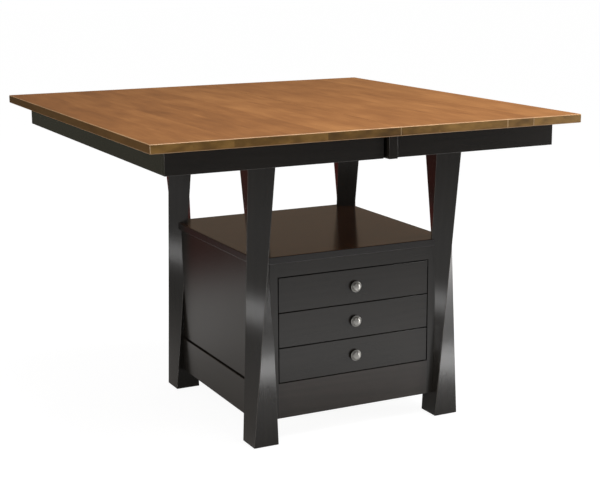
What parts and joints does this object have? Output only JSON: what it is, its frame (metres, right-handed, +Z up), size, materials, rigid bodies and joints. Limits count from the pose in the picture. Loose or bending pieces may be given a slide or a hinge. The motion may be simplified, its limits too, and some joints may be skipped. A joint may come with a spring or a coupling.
{
  "type": "cabinet table",
  "caption": "Square counter-height table whose split top slides apart on wooden slides, on twisted square legs round a cabinet with drawers.",
  "frame": {"origin": "on the floor, under the middle of the closed top", "axes": "+X along the front edge of the top from left to right, the way the halves slide; +Y from the drawer fronts to the back; +Z up"},
  "size_m": [1.23, 1.272, 0.914],
  "materials": {
    "top_maple": "warm brown stain, satin lacquer",
    "espresso_maple": "near-black stain, satin lacquer",
    "natural_maple": "clear lacquer",
    "birch_plywood": "clear lacquer",
    "zinc_steel": "zinc plated",
    "satin_nickel": "satin nickel",
    "glide_nylon": "moulded"
  },
  "bodies": {
    "base": {"leg_front_left": "espresso_maple", "leg_front_right": "espresso_maple", "leg_back_left": "espresso_maple", "leg_back_right": "espresso_maple", "floor_glides": "glide_nylon", "frame_rail_front": "espresso_maple", "frame_rail_back": "espresso_maple", "frame_end_rails": "espresso_maple", "slide_cores": "natural_maple", "cabinet_top": "espresso_maple", "cabinet_floor": "birch_plywood", "cabinet_left_panel": "espresso_maple", "cabinet_right_panel": "espresso_maple", "cabinet_back_panel": "espresso_maple", "bottom_rail_left": "espresso_maple", "bottom_rail_right": "espresso_maple", "bottom_rail_back": "espresso_maple", "face_stile_left": "espresso_maple", "face_stile_right": "espresso_maple", "face_top_rail": "espresso_maple", "face_bottom_rail": "espresso_maple", "drawer_slide_outers": "zinc_steel", "drawer_cleats": "natural_maple"},
    "left_half": {"top_left": "top_maple", "apron_end_left": "espresso_maple", "apron_front_left": "espresso_maple", "apron_back_left": "espresso_maple", "corner_blocks_left": "natural_maple", "slide_runners_left": "natural_maple", "lock_keepers": "zinc_steel"},
    "right_half": {"top_right": "top_maple", "apron_end_right": "espresso_maple", "apron_front_right": "espresso_maple", "apron_back_right": "espresso_maple", "corner_blocks_right": "natural_maple", "slide_runners_right": "natural_maple", "table_pins": "natural_maple", "seam_block_front": "espresso_maple", "seam_block_back": "espresso_maple", "lock_plates": "zinc_steel"},
    "front_lock": {"lock_lever_front": "zinc_steel"},
    "back_lock": {"lock_lever_back": "zinc_steel"},
    "bottom_drawer": {"bottom_drawer_front": "espresso_maple", "bottom_drawer_box": "natural_maple", "bottom_drawer_bottom": "birch_plywood", "bottom_knob": "satin_nickel", "bottom_drawer_channels": "zinc_steel"},
    "bottom_carriages": {"bottom_slide_carriages": "zinc_steel"},
    "middle_drawer": {"middle_drawer_front": "espresso_maple", "middle_drawer_box": "natural_maple", "middle_drawer_bottom": "birch_plywood", "middle_knob": "satin_nickel", "middle_drawer_channels": "zinc_steel"},
    "middle_carriages": {"middle_slide_carriages": "zinc_steel"},
    "top_drawer": {"top_drawer_front": "espresso_maple", "top_drawer_box": "natural_maple", "top_drawer_bottom": "birch_plywood", "top_knob": "satin_nickel", "top_drawer_channels": "zinc_steel"},
    "top_carriages": {"top_slide_carriages": "zinc_steel"}
  },
  "joints": [
    {"name": "left_half_slide", "type": "slide", "parent": "base", "child": "left_half", "axis": [-1, 0, 0], "range_m": [0, 0.305]},
    {"name": "right_half_slide", "type": "slide", "parent": "base", "child": "right_half", "axis": [1, 0, 0], "range_m": [0, 0.305]},
    {"name": "front_lock_turn", "type": "hinge", "parent": "right_half", "child": "front_lock", "pos_m": [0.098, -0.42, 0.8857], "axis": [0, 0, -1], "range_deg": [0, 90]},
    {"name": "back_lock_turn", "type": "hinge", "parent": "right_half", "child": "back_lock", "pos_m": [0.098, 0.42, 0.8857], "axis": [0, 0, 1], "range_deg": [0, 90]},
    {"name": "bottom_drawer_slide", "type": "slide", "parent": "base", "child": "bottom_drawer", "axis": [0, -1, 0], "range_m": [0, 0.48]},
    {"name": "bottom_carriage_slide", "type": "slide", "parent": "base", "child": "bottom_carriages", "axis": [0, -1, 0], "range_m": [0, 0.24]},
    {"name": "middle_drawer_slide", "type": "slide", "parent": "base", "child": "middle_drawer", "axis": [0, -1, 0], "range_m": [0, 0.48]},
    {"name": "middle_carriage_slide", "type": "slide", "parent": "base", "child": "middle_carriages", "axis": [0, -1, 0], "range_m": [0, 0.24]},
    {"name": "top_drawer_slide", "type": "slide", "parent": "base", "child": "top_drawer", "axis": [0, -1, 0], "range_m": [0, 0.48]},
    {"name": "top_carriage_slide", "type": "slide", "parent": "base", "child": "top_carriages", "axis": [0, -1, 0], "range_m": [0, 0.24]}
  ],
  "couplings": [
    {"joint": "bottom_carriage_slide", "follows": "bottom_drawer_slide", "ratio": 0.5},
    {"joint": "middle_carriage_slide", "follows": "middle_drawer_slide", "ratio": 0.5},
    {"joint": "top_carriage_slide", "follows": "top_drawer_slide", "ratio": 0.5}
  ]
}
